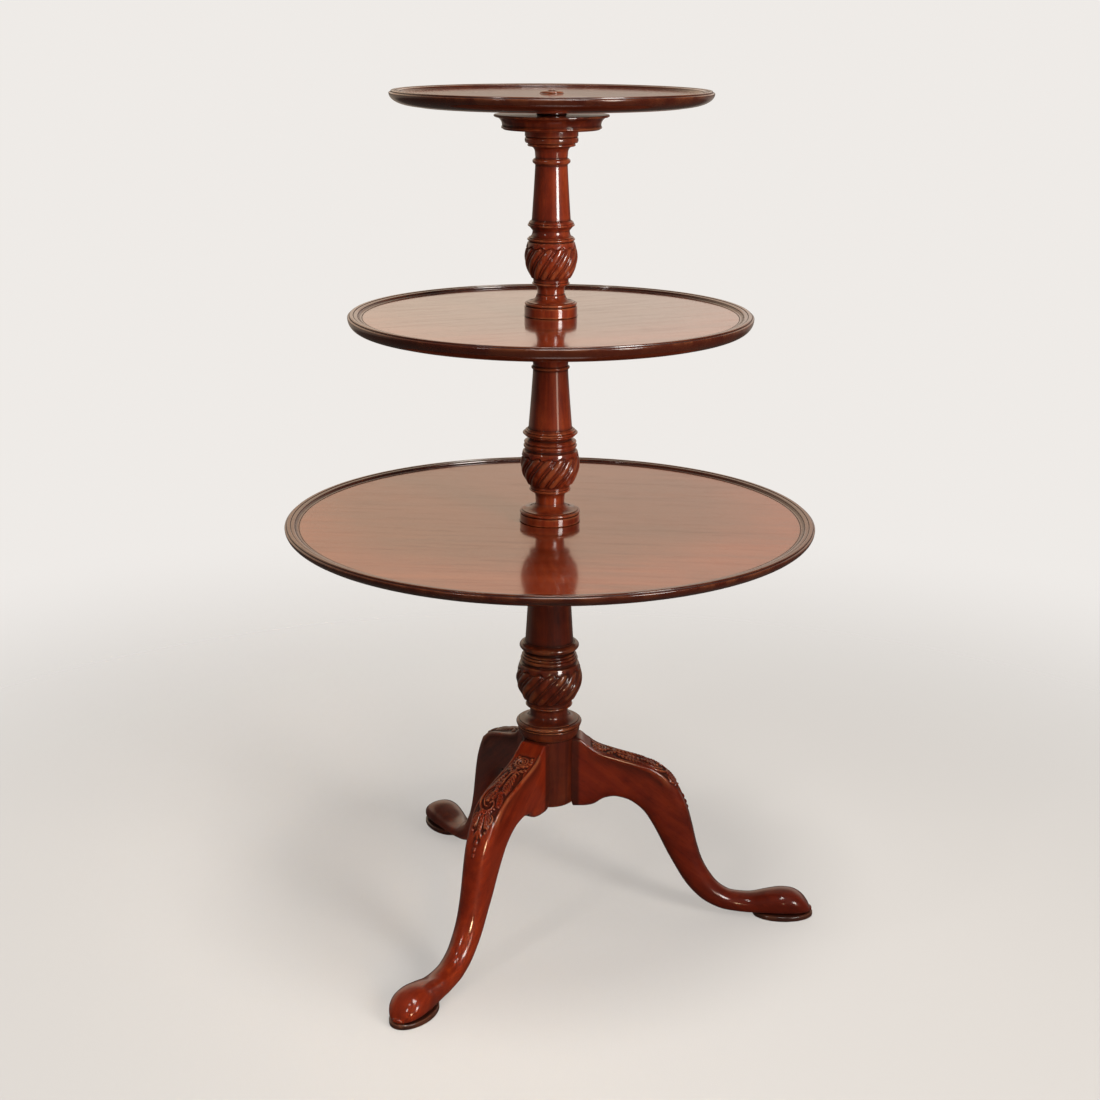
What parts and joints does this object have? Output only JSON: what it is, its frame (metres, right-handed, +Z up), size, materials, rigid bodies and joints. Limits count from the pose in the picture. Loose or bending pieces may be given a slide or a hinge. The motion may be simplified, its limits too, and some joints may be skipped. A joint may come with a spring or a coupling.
{
  "type": "dumbwaiter table",
  "caption": "Tiered round dumbwaiter with dished revolving trays on a turned, carved column over cabriole legs with pad feet.",
  "frame": {"origin": "on the floor, in the middle of the bounding box; the column's axis stands 10.75 mm from it towards -X, because the foot along +X reaches further out than the lower tray", "axes": "+Z up along the column; +X along one leg, and the other legs at 120 and 240 degrees; the picture's camera looks along +Y"},
  "size_m": [0.6614, 0.64, 1.0363],
  "materials": {
    "column_mahogany": "French-polished dark mahogany, glossy",
    "tray_mahogany": "French-polished mahogany, mirror gloss",
    "leg_mahogany": "French-polished red mahogany, glossy",
    "washer_leather": "dark oiled leather",
    "plate_iron": "dull black iron",
    "screw_steel": "worn steel"
  },
  "bodies": {
    "pedestal": {"lower_column": "column_mahogany", "middle_column": "column_mahogany", "upper_column": "column_mahogany", "lower_collar": "column_mahogany", "middle_collar": "column_mahogany", "top_collar": "column_mahogany", "lower_washer": "washer_leather", "middle_washer": "washer_leather", "top_washer": "washer_leather", "top_cap": "column_mahogany", "leg_right": "leg_mahogany", "leg_rear": "leg_mahogany", "leg_front": "leg_mahogany", "pad_right": "leg_mahogany", "pad_rear": "leg_mahogany", "pad_front": "leg_mahogany", "hub_plate": "plate_iron", "hub_screw_rear": "screw_steel", "hub_screw_left": "screw_steel", "hub_screw_front": "screw_steel"},
    "lower_tier": {"lower_tray": "tray_mahogany"},
    "middle_tier": {"middle_tray": "tray_mahogany"},
    "top_tier": {"top_tray": "tray_mahogany"}
  },
  "joints": [
    {"name": "lower_tray_turn", "type": "hinge", "parent": "pedestal", "child": "lower_tier", "pos_m": [-0.01075, 0, 0.52], "axis": [0, 0, 1], "continuous": true},
    {"name": "middle_tray_turn", "type": "hinge", "parent": "pedestal", "child": "middle_tier", "pos_m": [-0.01075, 0, 0.77], "axis": [0, 0, 1], "continuous": true},
    {"name": "top_tray_turn", "type": "hinge", "parent": "pedestal", "child": "top_tier", "pos_m": [-0.01075, 0, 1.025], "axis": [0, 0, 1], "continuous": true}
  ]
}
